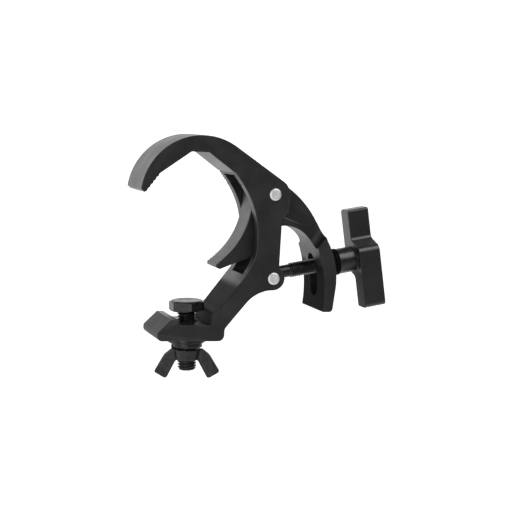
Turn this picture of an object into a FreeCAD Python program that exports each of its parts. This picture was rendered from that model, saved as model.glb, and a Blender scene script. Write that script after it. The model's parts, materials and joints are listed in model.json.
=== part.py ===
"""Hook clamp that hangs stage equipment from a 48 mm to 51 mm steel tube.

Frame: the origin is on the tube's axis, in the middle of the clamp's width. +X points from the
hook's mouth towards the clamping knob, +Y runs along the tube and +Z is up. Millimetres.
The shapes are those of the clamp with its jaw open and its foot bolt lifted off its seat, leaning
a little in its hole.
"""
import FreeCAD, Part
import math
import os
import Sketcher

Vector = FreeCAD.Vector
document = FreeCAD.newDocument("hook_clamp")

# ---------------------------------------------------------------- driving dimensions
SIZES = {
    # clamp body, cut from an extruded bar
    "body_width": 30.0,
    "slot_width": 17.6,
    "slot_roof": 14.9,
    "hook_radius": 32.3,
    "hook_centre_x": 1.6,
    "hook_centre_z": 2.3,
    "upper_boss_radius": 8.2,
    "lower_boss_radius": 6.2,
    "tooth_depth": 0.4,
    "foot_bottom": -71.05,
    "channel_floor": -62.75,
    "channel_width": 17.6,
    # pivots
    "lever_pivot_x": 41.0,
    "lever_pivot_z": 6.0,
    "bolt_pivot_x": 42.8,
    "bolt_pivot_z": -37.9,
    "rivet_radius": 3.0,
    "rivet_head_radius": 3.25,
    "rivet_head_height": 0.8,
    "press_clearance": 0.02,
    "running_clearance": 0.05,
    # lever: hub and arm, gripping jaw, thumb pad
    "jaw_width": 16.5,
    "arm_width": 17.4,
    "pad_width": 30.0,
    "hub_radius": 7.8,
    "pad_slot_width": 9.6,
    "pad_slot_top": -25.4,
    "pad_slot_bottom": -48.4,
    "cove_radius": 6.0,
    "step_slope": 0.7,
    "step_length": 27.0,
    # swing bolt and the pieces on it, measured from the bolt's pivot
    "swing_angle": 11.0,
    "thread_radius": 4.0,
    "neck_radius": 3.4,
    "neck_end": 14.0,
    "eye_radius": 7.0,
    "eye_width": 11.0,
    "bolt_end": 58.0,
    "spacer_radius": 6.0,
    "collar_start": 36.0,
    "collar_length": 2.6,
    "ring_length": 3.2,
    "hub_length": 10.1,
    "hub_barrel_radius": 6.9,
    "wing_length": 12.2,
    "wing_thickness": 10.0,
    "wing_reach": 26.6,
    "insert_radius": 5.5,
    # bolt through the foot, leaning, and the pieces on it, measured from the middle of the foot
    "foot_hole_x": 1.3,
    "foot_hole_radius": 5.5,
    "foot_bolt_x": 1.45,
    "foot_bolt_lean": 3.4,
    "foot_bolt_radius": 5.0,
    "foot_bolt_length": 31.4,
    "head_underside": 9.7,
    "head_height": 5.5,
    "head_across_flats": 16.8,
    "washer_top": -4.78,
    "washer_radius": 10.0,
    "washer_height": 2.0,
    "spring_radius": 8.2,
    "spring_height": 3.7,
    "spring_section": 2.2,
    "nut_hub_radius": 6.4,
    "nut_hub_height": 6.0,
    "nut_wing_thickness": 3.4,
    "nut_turn": 19.5,
}

sheet = document.addObject("Spreadsheet::Sheet", "sizes")
for row, (alias, value) in enumerate(SIZES.items(), start=1):
    sheet.set(f"A{row}", alias)
    sheet.set(f"B{row}", str(value))
    sheet.setAlias(f"B{row}", alias)
document.recompute()


def mm(alias):
    """One driving dimension, read from the sheet."""
    return float(sheet.get(alias))


# ---------------------------------------------------------------- outlines
# An outline is a closed list of items joined by straight lines:
#   (x, z)                      a sharp corner
#   (x, z, radius)              a rounded corner between two straight lines
#   (x, z, radius, start, end)  an arc about the centre x, z, in degrees
def polar(x, z, radius, degrees):
    angle = math.radians(degrees)
    return Vector(x + radius * math.cos(angle), z + radius * math.sin(angle), 0)


def first_point(item):
    return polar(*item[:3], item[3]) if len(item) == 5 else Vector(item[0], item[1], 0)


def last_point(item):
    return polar(*item[:3], item[4]) if len(item) == 5 else Vector(item[0], item[1], 0)


def rounded_corner(before, corner, after, radius):
    """The start, middle and end of the arc that rounds one corner."""
    towards_before = (before - corner).normalize()
    towards_after = (after - corner).normalize()
    half_angle = towards_before.getAngle(towards_after) / 2
    setback = radius / math.tan(half_angle)
    middle_way = (towards_before + towards_after).normalize()
    middle = corner + middle_way * (radius / math.sin(half_angle) - radius)
    return corner + towards_before * setback, middle, corner + towards_after * setback


def outline_edges(items):
    """Lines and arcs of a closed outline, in order."""
    pieces = []
    for index, item in enumerate(items):
        before = last_point(items[index - 1])
        after = first_point(items[(index + 1) % len(items)])
        if len(item) == 5:
            x, z, radius, start, end = item
            pieces.append((polar(x, z, radius, start), polar(x, z, radius, (start + end) / 2),
                           polar(x, z, radius, end)))
        elif len(item) == 3:
            pieces.append(rounded_corner(before, first_point(item), after, item[2]))
        else:
            pieces.append((first_point(item),))
    edges = []
    for index, piece in enumerate(pieces):
        if len(piece) == 3:
            edges.append(Part.Arc(*piece))
        start = piece[-1]
        end = pieces[(index + 1) % len(pieces)][0]
        if start.distanceToPoint(end) > 1e-4:
            edges.append(Part.LineSegment(start, end))
    return edges


def teeth(start, end, count, depth):
    """Gripping teeth between two points: V grooves cut away from the tube's axis."""
    start, end = Vector(*start, 0), Vector(*end, 0)
    points = []
    for index in range(count):
        crest = start + (end - start) * (index / count)
        root = start + (end - start) * ((index + 0.5) / count)
        root += Vector(root).normalize() * depth
        points += [(crest.x, crest.y), (root.x, root.y)]
    points.append((end.x, end.y))
    return points


def direction_to(x_from, z_from, x_to, z_to):
    return math.degrees(math.atan2(z_to - z_from, x_to - x_from))


# ---------------------------------------------------------------- building blocks
def new_sketch(body, role, name, offset=0.0):
    """A sketch on one of the body's own origin planes, or parallel to it."""
    sketch = body.newObject("Sketcher::SketchObject", name)
    plane = next(part for part in body.Origin.OriginFeatures if part.Role == role)
    sketch.AttachmentSupport = [(plane, "")]
    sketch.MapMode = "FlatFace"
    sketch.AttachmentOffset = FreeCAD.Placement(Vector(0, 0, offset), FreeCAD.Rotation())
    return sketch


def outline_sketch(body, name, items, role="XZ_Plane", offset=0.0):
    sketch = new_sketch(body, role, name, offset)
    for edge in outline_edges(items):
        sketch.addGeometry(edge)
    return sketch


def sketch_across(body, name, middle, first_axis, items):
    """An outline in the plane of +Y and one direction in the side view, about a place there."""
    sketch = body.newObject("Sketcher::SketchObject", name)
    turn = FreeCAD.Rotation(first_axis, Vector(0, 1, 0), Vector(0, 0, 0), "XYZ")
    sketch.Placement = FreeCAD.Placement(Vector(middle.x, 0, middle.y), turn)
    for edge in outline_edges(items):
        sketch.addGeometry(edge)
    return sketch


def circle_sketch(body, name, centre, radius, role="XZ_Plane", offset=0.0):
    """A circle whose radius follows an expression of the sheet."""
    sketch = new_sketch(body, role, name, offset)
    sketch.addGeometry(Part.Circle(Vector(*centre, 0), Vector(0, 0, 1), 1.0))
    constraint = sketch.addConstraint(Sketcher.Constraint("Radius", 0, 1.0))
    sketch.addConstraint(Sketcher.Constraint("DistanceX", 0, 3, centre[0]))
    sketch.addConstraint(Sketcher.Constraint("DistanceY", 0, 3, centre[1]))
    sketch.setExpression(f"Constraints[{constraint}]", radius)
    return sketch


def volume(body):
    return 0.0 if body.Shape.isNull() else body.Shape.Volume


def extrude(body, kind, name, sketch, length, symmetric=True):
    """Pad or Pocket by an expression of the sheet. Each must change the body's volume."""
    volume_before = volume(body)
    feature = body.newObject(f"PartDesign::{kind}", name)
    feature.Profile = sketch
    feature.SideType = "Symmetric" if symmetric else "One side"
    feature.setExpression("Length", length)
    document.recompute()
    added = volume(body) - volume_before
    if added == 0 or (added > 0) != (kind == "Pad"):
        raise RuntimeError(f"{name} does nothing")
    return feature


def revolve(body, name, sketch, axis):
    feature = body.newObject("PartDesign::Revolution", name)
    feature.Profile = sketch
    feature.ReferenceAxis = (sketch, [axis])
    feature.Angle = 360.0
    document.recompute()
    return feature


def new_body(label, placement=FreeCAD.Placement()):
    body = document.addObject("PartDesign::Body", label)
    body.Placement = placement
    return body


def turned(label, profile, placement, role="XZ_Plane", axis="H_Axis"):
    """A piece turned on a lathe, from half of its section."""
    body = new_body(label, placement)
    revolve(body, f"{label}_turning", outline_sketch(body, f"{label}_section", profile, role), axis)
    return body


def primitive(kind, name, base=Vector(0, 0, 0), turn=0.0, **expressions):
    """A Part primitive whose sizes follow the sheet, turned about Z in degrees."""
    solid = document.addObject(kind, name)
    solid.Placement = FreeCAD.Placement(base, FreeCAD.Rotation(Vector(0, 0, 1), turn))
    for prop, expression in expressions.items():
        solid.setExpression(prop, expression)
    return solid


def boolean(kind, label, base, tool, placement):
    result = document.addObject(kind, label)
    result.Base = base
    result.Tool = tool
    result.Placement = placement
    return result


def at(x, y, z):
    return FreeCAD.Placement(Vector(x, y, z), FreeCAD.Rotation())


# ---------------------------------------------------------------- places used by several pieces
LEVER_PIVOT = (mm("lever_pivot_x"), mm("lever_pivot_z"))
BOLT_PIVOT = (mm("bolt_pivot_x"), mm("bolt_pivot_z"))
PRESS_HOLE = "sizes.rivet_radius + sizes.press_clearance"
RUNNING_HOLE = "sizes.rivet_radius + sizes.running_clearance"
BOLT_FRAME = FreeCAD.Placement(Vector(BOLT_PIVOT[0], 0, BOLT_PIVOT[1]),
                               FreeCAD.Rotation(Vector(0, 1, 0), -mm("swing_angle")))
CHANNEL_LEFT = mm("foot_hole_x") - mm("channel_width") / 2
CHANNEL_RIGHT = mm("foot_hole_x") + mm("channel_width") / 2
FOOT_MIDDLE = (mm("channel_floor") + mm("foot_bottom")) / 2
FOOT_FRAME = FreeCAD.Placement(Vector(mm("foot_bolt_x"), 0, FOOT_MIDDLE),
                               FreeCAD.Rotation(Vector(0, 1, 0), -mm("foot_bolt_lean")))
COLLAR_END = mm("collar_start") + mm("collar_length")
RING_END = COLLAR_END + mm("ring_length")
BARREL_END = RING_END + mm("hub_length")
KNOB_END = BARREL_END + mm("wing_length")
LOOSE_BORE = mm("thread_radius") + 0.3
WASHER_BOTTOM = mm("washer_top") - mm("washer_height")
SPRING_BOTTOM = WASHER_BOTTOM - mm("spring_height")


# ---------------------------------------------------------------- clamp body
def hook_outline():
    """Side view of the body, clockwise from the hook's tip."""
    hook = (mm("hook_centre_x"), mm("hook_centre_z"), mm("hook_radius"))
    upper = (*LEVER_PIVOT, mm("upper_boss_radius"))
    lower = (*BOLT_PIVOT, mm("lower_boss_radius"))
    # the straight back is tangent to the hook's round and to the upper boss
    between = math.dist(hook[:2], upper[:2])
    lean = math.degrees(math.acos((hook[2] - upper[2]) / between))
    back_normal = direction_to(*hook[:2], *upper[:2]) + lean
    cheek_x = LEVER_PIVOT[0] + mm("upper_boss_radius")
    spine_x = 45.6
    lower_start = math.degrees(math.acos((spine_x - BOLT_PIVOT[0]) / lower[2]))
    # the hollow under the lower boss is tangent to it and runs into the leg
    hollow = (43.2, -63.0)
    hollow_radius = math.dist(lower[:2], hollow) - lower[2]
    lower_end = direction_to(*lower[:2], *hollow)
    leg_slope = 51.0
    hollow_end = 90.0 + leg_slope
    leg_start = polar(*hollow, hollow_radius, hollow_end)
    foot_x = 17.6
    leg_foot_z = leg_start.y - (leg_start.x - foot_x) * math.tan(math.radians(leg_slope))
    foot_z = mm("foot_bottom")
    floor_z = mm("channel_floor")
    lip_z = floor_z + 2.85
    heel_x = -18.2
    return [
        (-28.6, 4.6),
        (*hook, 173.0, back_normal),
        (*upper, back_normal, 0.0),
        (cheek_x, -2.9),
        (spine_x, -6.3),
        (*lower, lower_start, lower_end),
        (*hollow, hollow_radius, lower_end + 180.0, hollow_end),
        (foot_x, leg_foot_z, 3.0),
        (foot_x, foot_z, 3.2),
        (heel_x, foot_z, 2.6),
        (heel_x, lip_z - 7.0, 1.2),
        (-11.2, lip_z, 0.5),
        (CHANNEL_LEFT, lip_z, 0.4),
        (CHANNEL_LEFT, floor_z),
        (CHANNEL_RIGHT, floor_z),
        (CHANNEL_RIGHT, -56.0, 1.8),
        (14.6, -54.0, 2.0),
        (28.5, -35.3, 1.0),
        # the seat behind the tube: two rounds joined by a short straight
        (7.5, -21.2, 25.1, -31.0, 0.0),
        (-11.0, -16.6, 43.6, 0.0, 36.6),
        *teeth((23.9, 9.3), (18.5, 16.2), 6, 0.6),
        (4.1, 26.0, 1.0),
        (-5.1, 26.0, 1.0),
        *teeth((-20.2, 15.0), (-27.2, 5.5), 5, mm("tooth_depth")),
    ]


def slot_outline():
    """The cut between the two cheeks: over the lever's hub, and down past the swing bolt's eye."""
    roof = mm("slot_roof")
    return [(15.0, roof), (62.0, roof), (62.0, -52.0), (43.2, -52.0), (26.0, -34.8), (22.0, -28.0)]


def make_clamp_body():
    body = new_body("clamp_body")
    hook = outline_sketch(body, "hook_shape", hook_outline())
    extrude(body, "Pad", "hook_bar", hook, "sizes.body_width")
    slot = outline_sketch(body, "slot_shape", slot_outline())
    extrude(body, "Pocket", "lever_slot", slot, "sizes.slot_width")
    upper = circle_sketch(body, "lever_rivet_circle", LEVER_PIVOT, PRESS_HOLE)
    extrude(body, "Pocket", "lever_rivet_hole", upper, "sizes.body_width * 2")
    lower = circle_sketch(body, "bolt_rivet_circle", BOLT_PIVOT, PRESS_HOLE)
    extrude(body, "Pocket", "bolt_rivet_hole", lower, "sizes.body_width * 2")
    foot = circle_sketch(body, "foot_circle", (mm("foot_hole_x"), 0.0), "sizes.foot_hole_radius",
                         "XY_Plane", mm("channel_floor"))
    foot_depth = "sizes.channel_floor - sizes.foot_bottom"
    extrude(body, "Pocket", "foot_hole", foot, foot_depth, symmetric=False)
    return body


# ---------------------------------------------------------------- lever
BACK_CENTRE = (21.9, -35.2)
# the arm's back is tangent to the hub, and runs to the pad's top corner
ARM_BACK = (*BACK_CENTRE, math.dist(BACK_CENTRE, LEVER_PIVOT) + mm("hub_radius"))
BACK_START = direction_to(*BACK_CENTRE, *LEVER_PIVOT)
BACK_END = 22.0
ARM_END_OUTER = polar(*ARM_BACK, BACK_END)
ARM_END_INNER = Vector(67.0, -21.9, 0)
UNDERSIDE = (50.0, -28.5, 17.9)
# the milled step starts between the cheeks and runs out to the arm's back
STEP_START = (44.0, -4.5)
STEP_BACK = BACK_END + 1.4
STEP_UNDERSIDE = 109.5
HUB_TOP = LEVER_PIVOT[1] + mm("hub_radius")


def lever_outline():
    """Hub, gripping jaw and arm, clockwise from the top of the hub. The arm runs into the pad."""
    grip = (-9.7, 1.8, 40.4)
    grip_left = grip[0] + grip[2]
    return [
        (*LEVER_PIVOT, mm("hub_radius"), 90.0, BACK_START),
        (*ARM_BACK, BACK_START, BACK_END),
        (71.3, -18.0),
        (69.6, -25.2),
        (ARM_END_INNER.x, ARM_END_INNER.y),
        (*UNDERSIDE, 22.0, 111.0),
        (31.5, -27.9, 6.0),
        (23.5, -30.9, 5.0),
        (15.2, -34.3, 1.2),
        (12.9, -33.2, 0.8),
        *teeth((13.4, -31.3), (17.5, -27.7), 3, 0.6),
        (*grip, -47.0, 0.0),
        (grip_left, HUB_TOP, 7.0),
    ]


def arm_cheek_outline():
    """The part of the arm beyond the milled step, which is left thicker."""
    return [
        STEP_START,
        (*ARM_BACK, STEP_BACK, BACK_END),
        (ARM_END_INNER.x, ARM_END_INNER.y),
        (*UNDERSIDE, 22.0, STEP_UNDERSIDE),
    ]


def add_step_slope(body, name, side):
    """Slopes the milled step on one side of the arm, most of the way along it."""
    end = polar(*ARM_BACK, STEP_BACK)
    across = (end - Vector(*STEP_START, 0)).normalize()
    towards_back = Vector(-across.y, 0, across.x)
    middle = (end + Vector(*STEP_START, 0)) / 2
    inside = side * (mm("jaw_width") / 2 - 0.1)
    outside = side * mm("arm_width") / 2
    corners = [(-0.2, inside), (mm("step_slope"), inside), (0.0, outside), (-0.2, outside)]
    sketch = sketch_across(body, f"{name}_shape", middle, towards_back, corners)
    extrude(body, "Pad", name, sketch, "sizes.step_length")


def pad_outline():
    """The curved thumb pad, thinner towards its lower end."""
    return [
        (ARM_END_OUTER.x, ARM_END_OUTER.y),
        (36.5, -39.6, 42.0, 32.0, -8.0),
        (77.2, -55.4, 2.0),
        (71.4, -55.4, 0.6),
        (0.0, -47.8, 71.8, -5.4, 20.9),
        (ARM_END_INNER.x, ARM_END_INNER.y),
    ]


def pad_blend_outline():
    """The pad's full width, carried a little way up the arm for the coves to be milled in."""
    return [
        (ARM_END_INNER.x, ARM_END_INNER.y),
        (ARM_END_OUTER.x, ARM_END_OUTER.y),
        (*ARM_BACK, BACK_END, BACK_END + 8.5),
        (*UNDERSIDE, 46.0, 22.0),
    ]


def cove_outline(side):
    """What is milled off beside the arm, seen along the pad's end: out from the arm in a cove."""
    radius = mm("cove_radius")
    arm_side = mm("arm_width") / 2
    outside = mm("pad_width")
    start, end = (180.0, 270.0) if side > 0 else (180.0, 90.0)
    return [
        (0.0, side * outside),
        (radius, side * (arm_side + radius), radius, start, end),
        (2 * radius, side * arm_side),
        (2 * radius, side * outside),
    ]


def mill_cove(body, name, side):
    """One cove, cut along the line where the arm runs into the pad."""
    along = (ARM_END_OUTER - ARM_END_INNER).normalize()
    middle = (ARM_END_INNER + ARM_END_OUTER) / 2
    towards_hub = Vector(-along.y, 0, along.x)
    sketch = sketch_across(body, f"{name}_shape", middle, towards_hub, cove_outline(side))
    extrude(body, "Pocket", name, sketch, "sizes.pad_width")


def pad_slot_outline():
    """Round-ended slot for the swing bolt, seen along X."""
    radius = mm("pad_slot_width") / 2
    top = mm("pad_slot_top") - radius
    bottom = mm("pad_slot_bottom") + radius
    return [(0.0, top, radius, 0.0, 180.0), (0.0, bottom, radius, 180.0, 360.0)]


def make_jaw_lever():
    body = new_body("jaw_lever")
    jaw = outline_sketch(body, "jaw_shape", lever_outline())
    extrude(body, "Pad", "jaw_and_arm", jaw, "sizes.jaw_width")
    pad = outline_sketch(body, "pad_shape", pad_outline())
    extrude(body, "Pad", "thumb_pad", pad, "sizes.pad_width")
    blend = outline_sketch(body, "blend_shape", pad_blend_outline())
    extrude(body, "Pad", "pad_blend", blend, "sizes.pad_width")
    mill_cove(body, "front_cove", -1)
    mill_cove(body, "back_cove", 1)
    arm = outline_sketch(body, "arm_shape", arm_cheek_outline())
    extrude(body, "Pad", "arm_cheeks", arm, "sizes.arm_width")
    add_step_slope(body, "front_step_slope", -1)
    add_step_slope(body, "back_step_slope", 1)
    slot = outline_sketch(body, "pad_slot_shape", pad_slot_outline(), "YZ_Plane", 85.0)
    slot_depth = "sizes.pad_slot_top - sizes.pad_slot_bottom"
    extrude(body, "Pocket", "pad_slot", slot, slot_depth, symmetric=False)
    hole = circle_sketch(body, "pivot_circle", LEVER_PIVOT, RUNNING_HOLE)
    extrude(body, "Pocket", "pivot_hole", hole, "sizes.pad_width * 2")
    return body


# ---------------------------------------------------------------- rivets and spacers
def make_rivet(label, pivot):
    """Plain rivet pressed into both cheeks, its two ends domed over with a dimple in each."""
    radius = mm("rivet_radius")
    head = mm("rivet_head_radius")
    face = mm("body_width") / 2
    top = face + mm("rivet_head_height")
    end = [(1.2, top), (2.4, top - 0.1), (head, face + 0.15), (head, face), (radius, face)]
    dimple = top - 0.4
    other_end = [(x, -y) for x, y in reversed(end)]
    profile = [(0.0, dimple), *end, *other_end, (0.0, -dimple)]
    return turned(label, profile, at(pivot[0], 0, pivot[1]), "XY_Plane", "V_Axis")


def make_eye_spacer(label, side):
    """Ring on the lower rivet, between one cheek and the swing bolt's eye."""
    inner = mm("rivet_radius") + mm("running_clearance")
    outer = mm("spacer_radius")
    near_eye = side * (mm("eye_width") / 2 + 0.1)
    near_cheek = side * mm("slot_width") / 2
    profile = [(inner, near_eye), (outer, near_eye), (outer, near_cheek), (inner, near_cheek)]
    return turned(label, profile, at(BOLT_PIVOT[0], 0, BOLT_PIVOT[1]), "XY_Plane", "V_Axis")


# ---------------------------------------------------------------- swing bolt and its knob
def make_swing_bolt():
    body = new_body("swing_bolt", BOLT_FRAME)
    radius = mm("thread_radius")
    neck = mm("neck_radius")
    end = mm("bolt_end")
    profile = [(0.0, 0.0), (0.0, neck), (mm("neck_end") - 0.6, neck), (mm("neck_end"), radius),
               (end - 1.0, radius), (end, radius - 1.0), (end, 0.0)]
    revolve(body, "shank", outline_sketch(body, "shank_section", profile), "H_Axis")
    eye = circle_sketch(body, "eye_circle", (0.0, 0.0), "sizes.eye_radius")
    extrude(body, "Pad", "eye", eye, "sizes.eye_width")
    hole = circle_sketch(body, "eye_hole_circle", (0.0, 0.0), RUNNING_HOLE)
    extrude(body, "Pocket", "eye_hole", hole, "sizes.eye_width * 2")
    return body


def ring_on_bolt(label, start, end, inner, outer):
    profile = [(start, inner), (start, outer), (end, outer), (end, inner)]
    return turned(label, profile, BOLT_FRAME)


def wing_outline():
    """End view of the knob's wing: two flat lobes, set off to opposite sides of the bolt."""
    reach = mm("wing_reach")
    thick = mm("wing_thickness")
    half = [(0.0, reach, 1.2), (thick, reach, 2.5), (thick, -6.2, 4.0), (0.0, -10.0, 3.0)]
    return half + [(-y, -z, radius) for y, z, radius in half]


def make_wing_knob():
    body = new_body("wing_knob", BOLT_FRAME)
    barrel = mm("hub_barrel_radius")
    profile = [(RING_END, 0.0), (RING_END, barrel), (KNOB_END, barrel), (KNOB_END, 0.0)]
    revolve(body, "barrel", outline_sketch(body, "barrel_section", profile), "H_Axis")
    wing = outline_sketch(body, "wing_shape", wing_outline(), "YZ_Plane", BARREL_END)
    extrude(body, "Pad", "wing", wing, "sizes.wing_length", symmetric=False)
    bore_radius = "sizes.insert_radius + sizes.press_clearance"
    bore = circle_sketch(body, "insert_circle", (0.0, 0.0), bore_radius, "YZ_Plane", KNOB_END)
    bore_depth = "sizes.hub_length + sizes.wing_length"
    extrude(body, "Pocket", "insert_bore", bore, bore_depth, symmetric=False)
    return body


# ---------------------------------------------------------------- foot bolt and the pieces on it
def on_foot_bolt(height):
    """A place on the leaning bolt's axis, this far up from the middle of the foot."""
    return FOOT_FRAME.multiply(at(0, 0, height))


def make_foot_bolt():
    head = primitive("Part::Prism", "foot_bolt_head", turn=30.0,
                     Circumradius="sizes.head_across_flats / sqrt(3)", Height="sizes.head_height")
    head.Polygon = 6
    shank = primitive("Part::Cylinder", "foot_bolt_shank", Vector(0, 0, -mm("foot_bolt_length")),
                      Radius="sizes.foot_bolt_radius", Height="sizes.foot_bolt_length")
    return boolean("Part::Fuse", "foot_bolt", head, shank, on_foot_bolt(mm("head_underside")))


def make_foot_washer():
    disc = primitive("Part::Cylinder", "foot_washer_disc", Radius="sizes.washer_radius",
                     Height="sizes.washer_height")
    hole = primitive("Part::Cylinder", "foot_washer_hole", Radius="sizes.foot_bolt_radius + 0.3",
                     Height="sizes.washer_height")
    return boolean("Part::Cut", "foot_washer", disc, hole, on_foot_bolt(WASHER_BOTTOM))


def make_spring_washer():
    """Split spring washer at its free height: one open turn of square section."""
    section = mm("spring_section")
    inner = mm("foot_bolt_radius") + 0.3
    outer = mm("spring_radius")
    turns = 0.97
    rise = mm("spring_height") - section
    helix = Part.makeHelix(rise / turns, rise, inner)
    corners = [(inner, 0.0), (outer, 0.0), (outer, section), (inner, section), (inner, 0.0)]
    profile = Part.makePolygon([Vector(x, 0, z) for x, z in corners])
    washer = document.addObject("Part::Feature", "foot_spring_washer")
    washer.Shape = Part.Wire(helix.Edges).makePipeShell([profile], True, True)
    washer.Placement = on_foot_bolt(SPRING_BOTTOM)
    return washer


def make_wing_nut():
    """Wing nut with its hub against the spring washer and its wings hanging down."""
    turn = FreeCAD.Placement(Vector(0, 0, 0), FreeCAD.Rotation(Vector(0, 0, 1), -mm("nut_turn")))
    body = new_body("wing_nut", on_foot_bolt(SPRING_BOTTOM).multiply(turn))
    hub = mm("nut_hub_radius")
    depth = mm("nut_hub_height")
    section = [(0.0, 0.0), (hub + 0.6, 0.0), (hub - 0.4, -depth), (0.0, -depth)]
    revolve(body, "nut_hub", outline_sketch(body, "nut_hub_section", section), "V_Axis")
    wing = [(5.4, -0.2), (8.4, -0.2, 1.5), (12.0, -3.2, 4.0), (17.4, -12.4, 1.0), (11.0, -16.2, 1.5),
            (6.2, -7.0, 1.0), (5.4, -6.0)]
    for name, side in (("right", 1), ("left", -1)):
        outline = [(side * item[0], *item[1:]) for item in wing]
        sketch = outline_sketch(body, f"{name}_wing_shape", outline)
        extrude(body, "Pad", f"{name}_wing", sketch, "sizes.nut_wing_thickness")
    bore_radius = "sizes.foot_bolt_radius + sizes.running_clearance"
    bore = circle_sketch(body, "nut_bore_circle", (0.0, 0.0), bore_radius, "XY_Plane")
    extrude(body, "Pocket", "nut_bore", bore, "sizes.nut_hub_height * 3")
    return body


# ---------------------------------------------------------------- the whole clamp
def build_parts():
    bolt_bore = mm("thread_radius") + mm("running_clearance")
    barrel = mm("hub_barrel_radius")
    return [
        make_clamp_body(),
        make_jaw_lever(),
        make_rivet("lever_rivet", LEVER_PIVOT),
        make_rivet("swing_bolt_rivet", BOLT_PIVOT),
        make_eye_spacer("eye_spacer_front", -1),
        make_eye_spacer("eye_spacer_back", 1),
        make_swing_bolt(),
        ring_on_bolt("knob_thrust_collar", mm("collar_start"), COLLAR_END, LOOSE_BORE, barrel),
        ring_on_bolt("knob_friction_ring", COLLAR_END, RING_END, LOOSE_BORE, barrel + 0.3),
        ring_on_bolt("knob_insert", RING_END, KNOB_END, bolt_bore, mm("insert_radius")),
        make_wing_knob(),
        make_foot_bolt(),
        make_foot_washer(),
        make_spring_washer(),
        make_wing_nut(),
    ]


def check_and_export(parts):
    document.recompute()
    for item in document.Objects:
        if {"Invalid", "Error"} & set(item.State):
            raise RuntimeError(f"{item.Name} failed: {item.State}")
    os.makedirs("parts", exist_ok=True)
    for part in parts:
        shape = part.Shape
        if shape.isNull() or not shape.isValid() or len(shape.Solids) != 1:
            raise RuntimeError(f"{part.Label} is not one valid solid")
        shape.exportStep(f"parts/{part.Label}.step")
        print(f"{part.Label}: {shape.Volume / 1000:.2f} cm3")


check_and_export(build_parts())
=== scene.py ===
"""Looks of the hook clamp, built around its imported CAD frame. All lengths are in metres."""
import json
import math

import bmesh
import bpy
import numpy as np
from mathutils import Matrix, Vector


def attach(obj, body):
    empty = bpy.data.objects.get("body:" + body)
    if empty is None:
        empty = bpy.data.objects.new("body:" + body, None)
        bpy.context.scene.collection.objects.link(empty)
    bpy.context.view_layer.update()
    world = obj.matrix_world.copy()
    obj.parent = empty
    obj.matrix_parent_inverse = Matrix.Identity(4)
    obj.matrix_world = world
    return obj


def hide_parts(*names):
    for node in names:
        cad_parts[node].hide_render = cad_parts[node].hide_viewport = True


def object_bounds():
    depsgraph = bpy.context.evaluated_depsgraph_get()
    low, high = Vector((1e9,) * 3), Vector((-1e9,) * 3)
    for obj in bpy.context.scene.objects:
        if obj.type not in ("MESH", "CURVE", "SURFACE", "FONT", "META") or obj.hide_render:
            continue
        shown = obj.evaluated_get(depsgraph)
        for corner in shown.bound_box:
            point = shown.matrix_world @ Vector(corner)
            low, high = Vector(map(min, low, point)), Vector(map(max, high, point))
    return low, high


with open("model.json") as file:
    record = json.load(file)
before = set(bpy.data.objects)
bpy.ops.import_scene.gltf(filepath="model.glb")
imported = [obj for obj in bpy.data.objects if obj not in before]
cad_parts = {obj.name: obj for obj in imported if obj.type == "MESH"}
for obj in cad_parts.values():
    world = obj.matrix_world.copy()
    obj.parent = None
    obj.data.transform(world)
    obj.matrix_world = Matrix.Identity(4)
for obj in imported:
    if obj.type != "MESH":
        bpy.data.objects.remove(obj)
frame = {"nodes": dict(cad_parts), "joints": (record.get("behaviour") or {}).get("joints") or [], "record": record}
cad_low, cad_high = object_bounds()

MM = 0.001
TAU = 2 * math.pi
JOINTS = {joint["name"]: joint for joint in frame["joints"]}
BODY_OF_NODE = {
    node: body for body, nodes in frame["record"]["behaviour"]["bodies"].items() for node in nodes
}
SLOT_OF_NODE = {part["node"]: part["material_slot"] for part in frame["record"]["subparts"]}


# ---------------------------------------------------------------- places read from the frame
def cad_points(node):
    return np.array([vertex.co for vertex in frame["nodes"][node].data.vertices])


def axis_frame(origin, along, across=(0.0, 1.0, 0.0)):
    """Matrix whose X axis runs along one direction and whose Y axis is close to another."""
    x = Vector(along).normalized()
    z = x.cross(Vector(across)).normalized()
    y = z.cross(x)
    matrix = Matrix((x, y, z)).transposed().to_4x4()
    matrix.translation = Vector(origin)
    return matrix


def points_in(node, place):
    """The CAD node's points in a frame's own axes."""
    inverse = np.array(place.inverted())
    return cad_points(node) @ inverse[:3, :3].T + inverse[:3, 3]


def turned_size(node, place):
    """Start and end along a frame's X axis, and smallest and largest radius, of a turned CAD node."""
    points = points_in(node, place)
    radius = np.hypot(points[:, 1], points[:, 2])
    return points[:, 0].min(), points[:, 0].max(), radius.min(), radius.max()


BOLT = axis_frame(JOINTS["bolt_swing"]["pos_m"], -Vector(JOINTS["knob_travel"]["axis"]))
NUT_SPIN = JOINTS["wing_nut_spin"]
FOOT = axis_frame(NUT_SPIN["pos_m"], -Vector(NUT_SPIN["axis"]))
LEVER_PIN = axis_frame(JOINTS["jaw_swing"]["pos_m"], (0.0, 1.0, 0.0), (1.0, 0.0, 0.0))
BOLT_PIN = axis_frame(JOINTS["bolt_swing"]["pos_m"], (0.0, 1.0, 0.0), (1.0, 0.0, 0.0))


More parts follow.
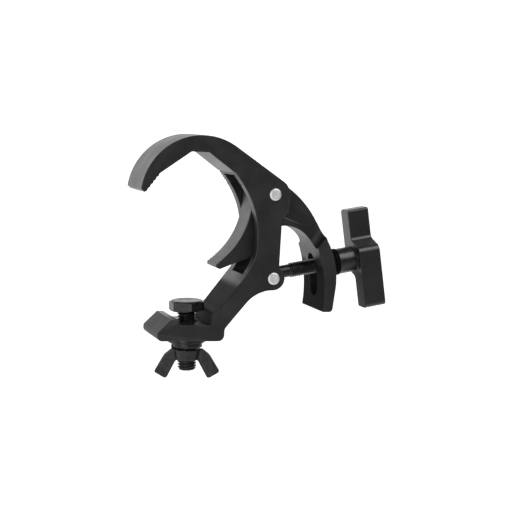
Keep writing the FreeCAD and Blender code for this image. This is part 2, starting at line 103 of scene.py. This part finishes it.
# ---------------------------------------------------------------- materials
class Nodes:
    """A material being built: its node tree, its shader and the object's coordinates in millimetres."""

    def __init__(self, name):
        self.material = bpy.data.materials.new(name)
        self.material.use_nodes = True
        self.tree = self.material.node_tree
        self.shader = self.tree.nodes["Principled BSDF"]
        coordinates = self.add("ShaderNodeTexCoord")
        self.millimetres = self.add("ShaderNodeVectorMath", operation="SCALE")
        self.millimetres.inputs["Scale"].default_value = 1 / MM
        self.link(coordinates.outputs["Object"], self.millimetres.inputs[0])

    def add(self, kind, **settings):
        node = self.tree.nodes.new(kind)
        for key, value in settings.items():
            setattr(node, key, value)
        return node

    def link(self, output, target):
        self.tree.links.new(output, target)

    def noise(self, per_mm, detail=4.0, roughness=0.55, stretch=(1.0, 1.0, 1.0), distortion=0.0):
        """Noise whose features are about 1 / per_mm millimetres across, stretched along an axis."""
        scale = self.add("ShaderNodeVectorMath", operation="MULTIPLY")
        scale.inputs[1].default_value = [per_mm * factor for factor in stretch]
        self.link(self.millimetres.outputs[0], scale.inputs[0])
        noise = self.add("ShaderNodeTexNoise")
        noise.inputs["Scale"].default_value = 1.0
        noise.inputs["Detail"].default_value = detail
        noise.inputs["Roughness"].default_value = roughness
        noise.inputs["Distortion"].default_value = distortion
        self.link(scale.outputs[0], noise.inputs["Vector"])
        return noise.outputs["Fac"]

    def spread(self, value, low, high, from_low=0.3, from_high=0.7):
        """The value mapped from one range to another."""
        ramp = self.add("ShaderNodeMapRange", interpolation_type="SMOOTHSTEP")
        limits = {"From Min": from_low, "From Max": from_high, "To Min": low, "To Max": high}
        for name, number in limits.items():
            ramp.inputs[name].default_value = number
        self.link(value, ramp.inputs["Value"])
        return ramp.outputs["Result"]

    def maths(self, operation, first, second):
        node = self.add("ShaderNodeMath", operation=operation)
        for socket, value in zip(node.inputs, (first, second)):
            if isinstance(value, (int, float)):
                socket.default_value = value
            else:
                self.link(value, socket)
        return node.outputs[0]

    def mix(self, factor, first, second):
        """Colour between two others. Each is a colour or an output."""
        node = self.add("ShaderNodeMix", data_type="RGBA")
        self.link(factor, node.inputs["Factor"])
        for socket, colour in ((node.inputs[6], first), (node.inputs[7], second)):
            if isinstance(colour, tuple):
                socket.default_value = (*colour, 1.0)
            else:
                self.link(colour, socket)
        return node.outputs[2]

    def wear_and_highlight_edges(self, start=0.515, full=0.56):
        """1 on convex edges and 0 on flat faces, for edge wear and painted edge highlights."""
        geometry = self.add("ShaderNodeNewGeometry")
        return self.spread(geometry.outputs["Pointiness"], 0.0, 1.0, start, full)

    def painted_shade_dulling(self, gloss, x, z, amount=1.0, nearer=0.0, slot=None):
        """Painted shade: faces that look towards -X and lie below z, in millimetres, get weaker reflections and
        more roughness, so they render darker as if in shade.

        amount says how far beyond x, and nearer how much of that is left on this side of x.
        slot gives half the width and the bottom of a slot there, whose walls get the same painted shade.
        """
        # painted shade: the zone's faces lose most of their reflection and gain roughness
        zone = self.maths("MULTIPLY", self.zone(x, z, nearer, slot), amount)
        shine = self.maths("SUBTRACT", 0.5, self.maths("MULTIPLY", zone, 0.45))
        self.link(shine, self.shader.inputs["Specular IOR Level"])
        return self.maths("ADD", gloss, self.maths("MULTIPLY", zone, 0.4))

    def zone(self, x, z, nearer, slot):
        """1 on the faces that get the painted shade, and 0 elsewhere."""
        place = self.add("ShaderNodeSeparateXYZ")
        self.link(self.millimetres.outputs[0], place.inputs[0])
        facing = self.add("ShaderNodeSeparateXYZ")
        self.link(self.add("ShaderNodeTexCoord").outputs["Normal"], facing.inputs[0])
        beyond = self.spread(place.outputs["X"], nearer, 1.0, x - 1.0, x + 1.0)
        below = self.spread(place.outputs["Z"], 1.0, 0.0, z - 2.0, z + 2.0)
        towards = self.spread(facing.outputs["X"], 1.0, 0.0, -0.45, -0.2)
        if slot is not None:
            width, bottom = slot
            off_middle = self.maths("ABSOLUTE", place.outputs["Y"], 0.0)
            inside = self.maths("MULTIPLY", self.spread(off_middle, 1.0, 0.0, width, width + 0.1),
                                self.spread(place.outputs["Z"], 0.0, 1.0, bottom, bottom + 0.2))
            towards = self.maths("MAXIMUM", towards, inside)
        return self.maths("MULTIPLY", towards, self.maths("MULTIPLY", beyond, below))

    def bump(self, height, depth_mm, under=None):
        bump = self.add("ShaderNodeBump")
        bump.inputs["Strength"].default_value = 1.0
        bump.inputs["Distance"].default_value = depth_mm * MM
        self.link(height, bump.inputs["Height"])
        if under is not None:
            self.link(under, bump.inputs["Normal"])
        return bump.outputs["Normal"]

    def painted_shade_hollows(self, start=0.46, full=0.40):
        """1 in grooves and inside corners and 0 on flat faces."""
        geometry = self.add("ShaderNodeNewGeometry")
        return self.spread(geometry.outputs["Pointiness"], 1.0, 0.0, full, start)

    def finish(self, colour, roughness, normal, metallic=0.0, ior=1.5):
        self.link(colour, self.shader.inputs["Base Color"])
        self.link(roughness, self.shader.inputs["Roughness"])
        self.link(normal, self.shader.inputs["Normal"])
        self.shader.inputs["Metallic"].default_value = metallic
        self.shader.inputs["IOR"].default_value = ior
        return self.material


def anodised(name, base, wear_and_highlight_tone, painted_shade_zone=None):
    """Satin black anodised extrusion: lines along the tube's direction, fine grain, and edges paler from wear and
    a painted highlight.

    Its last argument, when given, holds the numbers for the painted shade, which dulls some of the faces so they
    render darker.
    """
    nodes = Nodes(name)
    die_lines = nodes.noise(2.2, 5.0, 0.7, (1.0, 0.012, 1.0))
    grain = nodes.noise(9.0, 3.0, 0.6)
    mottle = nodes.noise(0.09, 3.0, 0.5)
    scuffs = nodes.noise(0.8, 6.0, 0.75, (1.0, 0.25, 3.5), 0.6)
    tone = nodes.mix(nodes.spread(mottle, 0.0, 1.0), base, tuple(1.35 * part for part in base))
    tone = nodes.mix(nodes.spread(die_lines, 0.0, 0.35, 0.45, 0.75), tone, wear_and_highlight_tone)
    tone = nodes.mix(nodes.spread(scuffs, 0.0, 0.25, 0.66, 0.76), tone, wear_and_highlight_tone)
    # paler convex edges: partly wear, partly a painted highlight
    edges = nodes.maths("MULTIPLY", nodes.wear_and_highlight_edges(), nodes.spread(mottle, 0.35, 0.8))
    tone = nodes.mix(edges, tone, tuple(1.6 * part for part in wear_and_highlight_tone))
    gloss = nodes.maths("ADD", nodes.spread(mottle, 0.36, 0.43), nodes.spread(grain, -0.03, 0.03))
    normal = nodes.bump(grain, 0.012, nodes.bump(die_lines, 0.02))
    # painted shade: dull the faces given by the last argument, so they render darker
    if painted_shade_zone is not None:
        gloss = nodes.painted_shade_dulling(gloss, *painted_shade_zone)
    return nodes.finish(tone, gloss, normal, ior=1.45, metallic=0.0)


def black_oxide(name, base, metal):
    """Black oxide steel: dark, a little patchy, rubbed to metal along its edges, and with painted shade darkening
    its grooves and inside corners.
    """
    nodes = Nodes(name)
    patches = nodes.noise(0.35, 5.0, 0.65, distortion=0.4)
    grain = nodes.noise(7.0, 3.0, 0.6)
    tone = nodes.mix(nodes.spread(patches, 0.0, 1.0), base, tuple(1.7 * part for part in base))
    rubbed = nodes.maths("MULTIPLY", nodes.wear_and_highlight_edges(0.55, 0.63), nodes.spread(patches, 0.2, 0.75))
    tone = nodes.mix(rubbed, tone, metal)
    # painted shade: grooves and inside corners are darkened to near black
    tone = nodes.mix(nodes.painted_shade_hollows(), tone, (0.002, 0.002, 0.002))
    gloss = nodes.maths("ADD", nodes.spread(patches, 0.28, 0.42), nodes.spread(grain, -0.04, 0.04))
    normal = nodes.bump(grain, 0.012, nodes.bump(patches, 0.02))
    return nodes.finish(tone, gloss, normal, metallic=0.75, ior=1.6)


def bright_metal(name, base, stain, roughness=0.26):
    """Turned, plated metal: fine marks, faint stains and a soft gloss."""
    nodes = Nodes(name)
    stains = nodes.noise(0.6, 4.0, 0.6)
    marks = nodes.noise(14.0, 2.0, 0.5)
    tone = nodes.mix(nodes.spread(stains, 0.0, 0.8), base, stain)
    gloss = nodes.maths("ADD", nodes.spread(stains, roughness, roughness + 0.12),
                        nodes.spread(marks, -0.03, 0.03))
    normal = nodes.bump(marks, 0.01, nodes.bump(stains, 0.03))
    return nodes.finish(tone, gloss, normal, metallic=1.0)


def moulded(name, base, roughness, texture_mm, shine=0.5, painted_shade_zone=None):
    """Moulded plastic: a fine spark-eroded texture, faint flow marks and a painted highlight that makes its edges
    paler.

    shine is the strength of its reflections, and the last argument, when given, holds the numbers for the painted
    shade, which dulls some faces.
    """
    nodes = Nodes(name)
    flow = nodes.noise(0.12, 3.0, 0.5, (0.6, 1.0, 1.0), 0.8)
    texture = nodes.noise(6.0, 3.0, 0.6)
    tone = nodes.mix(nodes.spread(flow, 0.0, 1.0), base, tuple(1.3 * part for part in base))
    # painted highlight: convex edges paler than the faces
    tone = nodes.mix(nodes.wear_and_highlight_edges(0.52, 0.6), tone, tuple(1.8 * part for part in base))
    gloss = nodes.maths("ADD", nodes.spread(flow, roughness, roughness + 0.07),
                        nodes.spread(texture, -0.04, 0.04))
    normal = nodes.bump(texture, texture_mm, nodes.bump(flow, 0.05))
    nodes.shader.inputs["Specular IOR Level"].default_value = shine
    # painted shade: dull the faces given by the last argument, so they render darker
    if painted_shade_zone is not None:
        gloss = nodes.painted_shade_dulling(gloss, *painted_shade_zone)
    return nodes.finish(tone, gloss, normal, ior=1.5, metallic=0.0)


# the last numbers given to the body, lever and knob finishes place their painted shade: dulled faces towards -X,
# low down, and the lever's slot walls
MATERIALS = {
    "anodised_body": anodised("body_black_anodised", (0.005, 0.005, 0.0055), (0.020, 0.020, 0.021),
                              (0.0, -42.0, 0.8, 0.5)),
    "anodised_lever": anodised("lever_black_anodised", (0.005, 0.005, 0.0055), (0.020, 0.020, 0.021),
                               (67.0, -30.0, 1.0, 0.0, (4.85, -48.6))),
    "zinc_rivet": bright_metal("rivet_zinc", (0.76, 0.76, 0.75), (0.64, 0.64, 0.62), 0.46),
    "zinc_steel": bright_metal("collar_zinc", (0.42, 0.42, 0.41), (0.30, 0.30, 0.29), 0.40),
    "black_steel": black_oxide("fastener_black_oxide", (0.020, 0.0195, 0.0195), (0.09, 0.088, 0.085)),
    "black_nylon": moulded("ring_black_nylon", (0.002, 0.002, 0.002), 0.65, 0.03, 0.06),
    "brass": bright_metal("insert_brass", (0.66, 0.48, 0.21), (0.50, 0.35, 0.14)),
    "black_plastic": moulded("knob_black_plastic", (0.006, 0.006, 0.0065), 0.30, 0.012,
                             painted_shade_zone=(85.0, -34.0, 0.7)),
}


# ---------------------------------------------------------------- building meshes
def add_piece(name, mesh, node, smooth_angle=None):
    """An object that stands for one CAD node and takes its body and finish."""
    piece = bpy.data.objects.new(name, mesh)
    bpy.context.scene.collection.objects.link(piece)
    mesh.materials.clear()
    mesh.materials.append(MATERIALS[SLOT_OF_NODE[node]])
    mesh.polygons.foreach_set("use_smooth", [True] * len(mesh.polygons))
    if smooth_angle is not None:
        mesh.set_sharp_from_angle(angle=math.radians(smooth_angle))
    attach(piece, BODY_OF_NODE[node])
    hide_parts(node)
    return piece


def skin(rings, closed=False):
    """Vertices and faces of a surface through rings of equal length. A one-point ring is a tip."""
    vertices, starts = [], []
    for ring in rings:
        starts.append(len(vertices))
        vertices += [tuple(point) for point in ring]
    faces = []
    pairs = list(zip(range(len(rings) - 1), range(1, len(rings))))
    if closed:
        pairs.append((len(rings) - 1, 0))
    columns = max(len(ring) for ring in rings)
    for first, second in pairs:
        for column in range(columns):
            following = (column + 1) % columns
            a = starts[first] + (column if len(rings[first]) > 1 else 0)
            b = starts[first] + (following if len(rings[first]) > 1 else 0)
            c = starts[second] + (following if len(rings[second]) > 1 else 0)
            d = starts[second] + (column if len(rings[second]) > 1 else 0)
            corners = list(dict.fromkeys((a, b, c, d)))
            if len(corners) > 2:
                faces.append(corners)
    return vertices, faces


def mesh_of(name, vertices, faces, place=None):
    mesh = bpy.data.meshes.new(name)
    mesh.from_pydata(vertices, [], faces)
    if place is not None:
        mesh.transform(place)
    work = bmesh.new()
    work.from_mesh(mesh)
    bmesh.ops.recalc_face_normals(work, faces=work.faces)
    work.to_mesh(mesh)
    work.free()
    return mesh


def circle(x, radius, columns, turn=0.0):
    """Ring of points about the X axis. The radius may be one number or one per column."""
    radii = np.broadcast_to(radius, columns)
    heights = np.broadcast_to(x, columns)
    angles = turn + TAU * np.arange(columns) / columns
    return np.stack([heights, radii * np.cos(angles), radii * np.sin(angles)], axis=1)


def rounded(profile, radius, steps=3, closed=True):
    """A profile with each corner replaced by a short arc."""
    points = [Vector(point) for point in profile]
    result = []
    for index, corner in enumerate(points):
        if not closed and index in (0, len(points) - 1):
            result.append(tuple(corner))
            continue
        before = points[index - 1] - corner
        after = points[(index + 1) % len(points)] - corner
        reach = min(radius, 0.45 * before.length, 0.45 * after.length)
        start = corner + before.normalized() * reach
        end = corner + after.normalized() * reach
        for step in range(steps + 1):
            t = step / steps
            result.append(tuple((1 - t) ** 2 * start + 2 * t * (1 - t) * corner + t ** 2 * end))
    return result


def turned_mesh(name, profile, place, columns=96, closed=True):
    """A lathe-turned mesh from points (distance along the axis, radius)."""
    rings = [circle(x, radius, columns) if radius > 1e-7 else [(x, 0.0, 0.0)] for x, radius in profile]
    return mesh_of(name, *skin(rings, closed), place)


def thread_radius(x, angle, major, pitch, phase=0.0):
    """Radius of a right-hand metric thread at one distance along the axis and angle about it."""
    depth = 0.6134 * pitch
    turn = x / pitch - angle / TAU + phase
    from_root = 2 * np.abs(turn - np.floor(turn) - 0.5)
    ramp = np.clip((from_root - 0.25) / 0.625, 0.0, 1.0)
    ramp = 0.5 * ramp + 0.5 * ramp ** 2 * (3 - 2 * ramp)
    return major - depth * (1 - ramp)


def thread_rings(start, end, major, pitch, columns, rows_per_pitch=16, cap=None):
    """Rings of a thread. cap gives the largest radius at each distance, for chamfers and run-outs."""
    rows = int(round((end - start) / pitch * rows_per_pitch))
    angles = TAU * np.arange(columns) / columns
    rings = []
    for x in np.linspace(start, end, rows + 1):
        radius = thread_radius(x, angles, major, pitch)
        if cap is not None:
            radius = np.minimum(radius, cap(x))
        rings.append(circle(x, radius, columns))
    return rings


def copy_of_cad(node, angle=0.5):
    """The node's mesh as a bmesh with its triangles merged into whole faces."""
    source = frame["nodes"][node].data
    work = bmesh.new()
    bare = bpy.data.meshes.new("bare")
    bare.from_pydata([v.co for v in source.vertices], [], [list(p.vertices) for p in source.polygons])
    work.from_mesh(bare)
    bpy.data.meshes.remove(bare)
    bmesh.ops.remove_doubles(work, verts=work.verts, dist=2e-6)
    bmesh.ops.dissolve_degenerate(work, edges=work.edges, dist=2e-6)
    bmesh.ops.dissolve_limit(work, angle_limit=math.radians(angle), verts=work.verts, edges=work.edges)
    bmesh.ops.recalc_face_normals(work, faces=work.faces)
    return work


def bevelled_copy(name, node, width, share=0.25, segments=3, crease=27.0, sharp=40.0):
    """The CAD node with rounded edges, narrower where its faces are narrow.

    Edges between the crease and the sharp angle, in degrees, are left crisp instead.
    """
    work = copy_of_cad(node)
    layer = work.edges.layers.float.new("bevel_weight_edge")
    for edge in work.edges:
        angle = edge.calc_face_angle(0.0)
        if len(edge.link_faces) != 2 or angle < math.radians(sharp):
            edge.smooth = angle < math.radians(crease)
            continue
        narrow = min(face.calc_area() / max(edge.calc_length(), 1e-6) for face in edge.link_faces)
        edge[layer] = min(1.0, share * narrow / width)
    mesh = bpy.data.meshes.new(name)
    work.to_mesh(mesh)
    work.free()
    piece = add_piece(name, mesh, node)
    bevel = piece.modifiers.new("rounded_edges", "BEVEL")
    bevel.limit_method = "WEIGHT"
    bevel.width = width
    bevel.segments = segments
    bevel.use_clamp_overlap = False
    bevel.miter_outer = "MITER_ARC"
    normals = piece.modifiers.new("flat_faces", "WEIGHTED_NORMAL")
    normals.mode = "FACE_AREA"
    normals.keep_sharp = True
    return piece


# ---------------------------------------------------------------- pieces
def make_rivet(name, node, place):
    """Rivet with both ends domed over and dimpled by the setting tool."""
    low, high, _, head = turned_size(node, place)
    face = high - 0.8 * MM
    end = [(high - 0.20 * MM, 0.0), (high - 0.19 * MM, 0.5 * MM), (high - 0.15 * MM, 1.0 * MM),
           (high - 0.06 * MM, 1.45 * MM), (high - 0.01 * MM, 1.8 * MM), (high, 2.05 * MM),
           (high - 0.02 * MM, 2.35 * MM), (high - 0.09 * MM, 2.7 * MM), (high - 0.24 * MM, 3.0 * MM),
           (high - 0.50 * MM, head - 0.1 * MM), (high - 0.66 * MM, head),
           (face + 0.02 * MM, head - 0.03 * MM), (face, head - 0.2 * MM), (face - 0.2 * MM, 3.0 * MM)]
    middle = (low + high) / 2
    profile = end + [(2 * middle - x, radius) for x, radius in reversed(end)]
    return add_piece(name, turned_mesh(name, profile, place, 72, closed=False), node, 50)


def make_ring(name, node, place, corner, grooves=0, columns=96):
    """Ring with rounded corners, and shallow turned grooves round its outside."""
    start, end, inner, outer = turned_size(node, place)
    outside = [(start, outer)]
    for groove in range(grooves):
        middle = start + (end - start) * (groove + 0.5) / grooves
        half = 0.16 * (end - start) / grooves
        outside += [(middle - half, outer), (middle, outer - 0.25 * MM), (middle + half, outer)]
    outside.append((end, outer))
    profile = rounded([(start, inner), *outside, (end, inner)], corner)
    return add_piece(name, turned_mesh(name, profile, place, columns), node, 50)


def make_swing_bolt():
    """Eye bolt: flat-sided eye, plain neck, then an M8 thread."""
    columns, pitch, major = 48, 1.25 * MM, 4.0 * MM
    neck, thread_start = 3.4 * MM, 13.6 * MM
    end = turned_size("swing_bolt", BOLT)[1]

    def chamfer(x):
        lead_in = neck - 0.5 * MM + 0.9 * (x - thread_start)
        return min(max(lead_in, neck), major - max(0.0, x - (end - 1.0 * MM)))

    rings = [[(5.0 * MM, 0.0, 0.0)], circle(5.0 * MM, neck, columns), circle(9.0 * MM, neck, columns),
             circle(thread_start - 0.05 * MM, neck, columns)]
    rings += thread_rings(thread_start, end, major, pitch, columns, cap=chamfer)
    rings.append([(end, 0.0, 0.0)])
    shank = mesh_of("swing_bolt", *skin(rings), BOLT)
    half, inner, outer = 5.5 * MM, 3.05 * MM, 7.0 * MM
    profile = rounded([(-half, inner), (-half, outer), (half, outer), (half, inner)], 0.5 * MM)
    eye_mesh = turned_mesh("eye", profile, BOLT_PIN, 96)
    piece = add_piece("swing_bolt_m8", shank, "swing_bolt")
    eye = bpy.data.objects.new("eye_tool", eye_mesh)
    bpy.context.scene.collection.objects.link(eye)
    union(piece, eye)
    piece.data.set_sharp_from_angle(angle=math.radians(42))
    return piece


def union(piece, other):
    """Joins a second mesh to a piece, and removes it."""
    modifier = piece.modifiers.new("join", "BOOLEAN")
    modifier.operation = "UNION"
    modifier.solver = "EXACT"
    modifier.object = other
    apply_modifiers(piece)
    bpy.data.objects.remove(other)


def apply_modifiers(piece):
    bpy.context.view_layer.update()
    evaluated = piece.evaluated_get(bpy.context.evaluated_depsgraph_get())
    mesh = bpy.data.meshes.new_from_object(evaluated)
    piece.modifiers.clear()
    piece.data = mesh
    mesh.polygons.foreach_set("use_smooth", [True] * len(mesh.polygons))


def make_insert():
    """Brass insert with a real thread that follows the bolt's."""
    start, end, _, outer = turned_size("knob_insert", BOLT)
    columns, pitch, major = 48, 1.25 * MM, 4.09 * MM
    inside = thread_rings(start, end, major, pitch, columns)
    outside = [circle(end, outer - 0.3 * MM, columns), circle(end - 0.3 * MM, outer, columns),
               circle(start + 0.3 * MM, outer, columns), circle(start, outer - 0.3 * MM, columns)]
    return add_piece("knob_insert_m8", mesh_of("knob_insert_m8", *skin(inside + outside, True), BOLT),
                     "knob_insert", 42)


def make_foot_bolt():
    """M10 hexagon bolt, threaded to the head, its hexagon chamfered on top."""
    columns, pitch, major = 60, 1.5 * MM, 5.0 * MM
    low, high, _, corner = turned_size("foot_bolt", FOOT)
    flats = corner * math.cos(math.pi / 6)
    points = points_in("foot_bolt", FOOT)
    head = points[np.hypot(points[:, 1], points[:, 2]) > 0.9 * corner]
    under_head = head[:, 0].min()
    angles = TAU * np.arange(columns) / columns
    corner_turn = math.atan2(head[0, 2], head[0, 1])
    from_flat = np.mod(angles - corner_turn, math.pi / 3) - math.pi / 6
    hexagon = np.minimum(flats / np.cos(from_flat), corner - 0.12 * MM)
    top_circle = 0.93 * flats
    slope = math.tan(math.radians(30))
    chamfer = high - np.maximum(hexagon - top_circle, 0.0) * slope
    under = under_head + np.maximum(hexagon - 0.985 * flats, 0.0) * slope

    def cap(x):
        return min(major, major - 1.0 * MM + (x - low), 4.25 * MM + 0.8 * max(0.0, under_head - 0.4 * MM - x))

    rings = [[(high - 0.12 * MM, 0.0, 0.0)], circle(high - 0.12 * MM, 0.55 * top_circle, columns),
             circle(high, 0.62 * top_circle, columns), circle(high, top_circle - 0.25 * MM, columns),
             circle(high - 0.04 * MM, top_circle, columns),
             circle(chamfer + 0.06 * MM, hexagon - 0.15 * MM, columns),
             circle(chamfer - 0.08 * MM, hexagon, columns),
             circle(under + 0.1 * MM, hexagon, columns), circle(under, hexagon - 0.12 * MM, columns),
             circle(under_head, 0.95 * flats, columns), circle(under_head, 4.3 * MM, columns)]
    rings += reversed(thread_rings(low, under_head - 0.2 * MM, major, pitch, columns, cap=cap))
    rings += [circle(low, 2.0 * MM, columns), [(low, 0.0, 0.0)]]
    return add_piece("foot_bolt_m10", mesh_of("foot_bolt_m10", *skin(rings), FOOT), "foot_bolt", 28)


def make_spring_washer():
    """Split spring washer: a square wire wound through nearly one turn, its cut ends slanted."""
    start, end, inner, outer = turned_size("foot_spring_washer", FOOT)
    section, steps, turns = 2.2 * MM, 120, 0.97
    rise = end - start - section
    corner = rounded([(0.0, inner), (section, inner), (section, outer), (0.0, outer)], 0.3 * MM, 3)
    rings = []
    for step in range(steps + 1):
        share = step / steps
        height = start + rise * share
        ring = []
        for x, radius in corner:
            slant = 0.10 * (x / section - 0.5) * (1.0 if step in (0, steps) else 0.0)
            angle = TAU * turns * share + slant
            ring.append((height + x, radius * math.cos(angle), -radius * math.sin(angle)))
        rings.append(ring)
    vertices, faces = skin(rings)
    count = len(corner)
    faces.append(list(range(count)))
    faces.append([steps * count + index for index in range(count)])
    # the CAD helix rises counter-clockwise seen from above, from the +X side
    turn = Matrix(((1, 0, 0, 0), (0, 0, -1, 0), (0, 1, 0, 0), (0, 0, 0, 1)))
    mesh = mesh_of("foot_spring_washer", vertices, faces, FOOT @ turn)
    return add_piece("foot_spring_washer_split", mesh, "foot_spring_washer", 40)


def make_wing_nut():
    """Cast wing nut, its wings flowing into the hub."""
    work = copy_of_cad("wing_nut")
    mesh = bpy.data.meshes.new("wing_nut")
    work.to_mesh(mesh)
    work.free()
    piece = add_piece("wing_nut_m10", mesh, "wing_nut")
    remesh = piece.modifiers.new("cast", "REMESH")
    remesh.mode = "VOXEL"
    remesh.voxel_size = 0.30 * MM
    smooth = piece.modifiers.new("soften", "SMOOTH")
    smooth.factor = 0.5
    smooth.iterations = 7
    apply_modifiers(piece)
    return piece


bevelled_copy("hook_body", "clamp_body", 0.35 * MM)
bevelled_copy("jaw_lever_arm", "jaw_lever", 0.35 * MM)
make_rivet("lever_rivet_domed", "lever_rivet", LEVER_PIN)
make_rivet("swing_bolt_rivet_domed", "swing_bolt_rivet", BOLT_PIN)
make_ring("eye_spacer_front_ring", "eye_spacer_front", BOLT_PIN, 0.3 * MM)
make_ring("eye_spacer_back_ring", "eye_spacer_back", BOLT_PIN, 0.3 * MM)
make_swing_bolt()
make_ring("thrust_collar", "knob_thrust_collar", BOLT, 0.5 * MM)
make_ring("friction_ring", "knob_friction_ring", BOLT, 0.35 * MM, grooves=2)
bevelled_copy("wing_knob_moulded", "wing_knob", 0.35 * MM)
make_insert()
make_foot_bolt()
make_ring("foot_washer_plain", "foot_washer", FOOT, 0.35 * MM)
make_spring_washer()
make_wing_nut()


# ---------------------------------------------------------------- studio
CENTRE = (cad_low + cad_high) / 2
FLOOR_DROP = 0.26
FLOOR_RADIUS = 7.0


def make_floor():
    """Plain pale floor, well below the hanging clamp, with a painted glow: it gives off light of its own, weaker
    towards the camera's side.
    """
    work = bmesh.new()
    bmesh.ops.create_circle(work, cap_ends=True, radius=FLOOR_RADIUS, segments=128)
    mesh = bpy.data.meshes.new("floor")
    work.to_mesh(mesh)
    work.free()
    floor = bpy.data.objects.new("floor", mesh)
    floor.location = (CENTRE.x, CENTRE.y, cad_low.z - FLOOR_DROP)
    bpy.context.scene.collection.objects.link(floor)
    nodes = Nodes("floor_pale")
    cloud = nodes.noise(0.002, 2.0, 0.5)
    tone = nodes.mix(nodes.spread(cloud, 0.0, 1.0), (0.93, 0.93, 0.93), (0.96, 0.96, 0.96))
    nodes.finish(tone, nodes.spread(cloud, 0.75, 0.85), nodes.bump(cloud, 0.01))
    place = nodes.add("ShaderNodeSeparateXYZ")
    nodes.link(nodes.millimetres.outputs[0], place.inputs[0])
    # painted glow: the floor emits light, weak on the camera's side and stronger behind the clamp
    nodes.shader.inputs["Emission Color"].default_value = (1.0, 1.0, 1.0, 1.0)
    nodes.link(nodes.spread(place.outputs["Y"], 0.06, 0.78, -300.0, 150.0),
               nodes.shader.inputs["Emission Strength"])
    mesh.materials.append(nodes.material)


def make_world():
    """White studio: bright behind and to the left, dim in front, dark above and to the right."""
    world = bpy.data.worlds.new("studio")
    bpy.context.scene.world = world
    world.use_nodes = True
    tree = world.node_tree
    add, link = tree.nodes.new, tree.links.new

    def share(value, start, end, amount, base=0.0):
        ramp = add("ShaderNodeMapRange")
        ramp.interpolation_type = "SMOOTHSTEP"
        limits = {"From Min": start, "From Max": end, "To Min": base, "To Max": amount}
        for name, number in limits.items():
            ramp.inputs[name].default_value = number
        link(value, ramp.inputs["Value"])
        return ramp.outputs["Result"]

    def total(first, second, operation="ADD"):
        node = add("ShaderNodeMath")
        node.operation = operation
        link(first, node.inputs[0])
        link(second, node.inputs[1])
        return node.outputs[0]

    direction = add("ShaderNodeSeparateXYZ")
    link(add("ShaderNodeTexCoord").outputs["Generated"], direction.inputs[0])
    x, y, z = direction.outputs
    behind = share(y, 0.05, 0.6, 1.35, 0.03)
    low_down = share(z, 0.45, 0.75, 0.30, 1.0)
    front = share(y, -0.35, -0.95, 0.06)
    left = share(x, -0.2, -0.8, 0.60)
    light = total(total(total(behind, low_down, "MULTIPLY"), front), left)
    seen = add("ShaderNodeLightPath").outputs["Is Camera Ray"]
    strength = total(light, seen, "MAXIMUM")
    background = tree.nodes["Background"]
    background.inputs["Color"].default_value = (1.0, 1.0, 1.0, 1.0)
    link(strength, background.inputs["Strength"])


def make_softbox(name, direction, distance, size, watts):
    """Area light that looks at the clamp from one direction."""
    data = bpy.data.lights.new(name, "AREA")
    data.shape = "RECTANGLE"
    data.size, data.size_y = size
    data.energy = watts
    light = bpy.data.objects.new(name, data)
    towards = Vector(direction).normalized()
    light.location = CENTRE + towards * distance
    light.rotation_mode = "QUATERNION"
    light.rotation_quaternion = towards.to_track_quat("Z", "Y")
    bpy.context.scene.collection.objects.link(light)


def make_camera():
    """The photograph's view: nearly level, from the front left, slightly rolled."""
    azimuth, elevation, roll = math.radians(19.5146), math.radians(5.9632), math.radians(3.3896)
    aim = Vector((37.603, 0.0, -27.843)) * MM
    distance = 658.28 * MM
    forward = Vector((math.sin(azimuth) * math.cos(elevation), math.cos(azimuth) * math.cos(elevation),
                      -math.sin(elevation)))
    right = Vector((math.cos(azimuth), -math.sin(azimuth), 0.0))
    up = right.cross(forward)
    rolled_right = math.cos(roll) * right + math.sin(roll) * up
    rolled_up = math.cos(roll) * up - math.sin(roll) * right
    data = bpy.data.cameras.new("camera")
    data.sensor_width = 36.0
    data.lens = 87.19
    data.clip_start, data.clip_end = 0.01, 50.0
    camera = bpy.data.objects.new("camera", data)
    matrix = Matrix((rolled_right, rolled_up, -forward)).transposed().to_4x4()
    matrix.translation = aim - forward * distance
    camera.matrix_world = matrix
    bpy.context.scene.collection.objects.link(camera)
    bpy.context.scene.camera = camera


make_floor()
make_world()
make_softbox("key_left", (-0.62, -0.78, 0.10), 0.9, (0.4, 0.4), 2.9)
make_softbox("front_top", (0.42, -0.52, 0.74), 0.8, (0.5, 0.55), 4.6)
make_camera()
bpy.context.scene.view_settings.view_transform = "Standard"
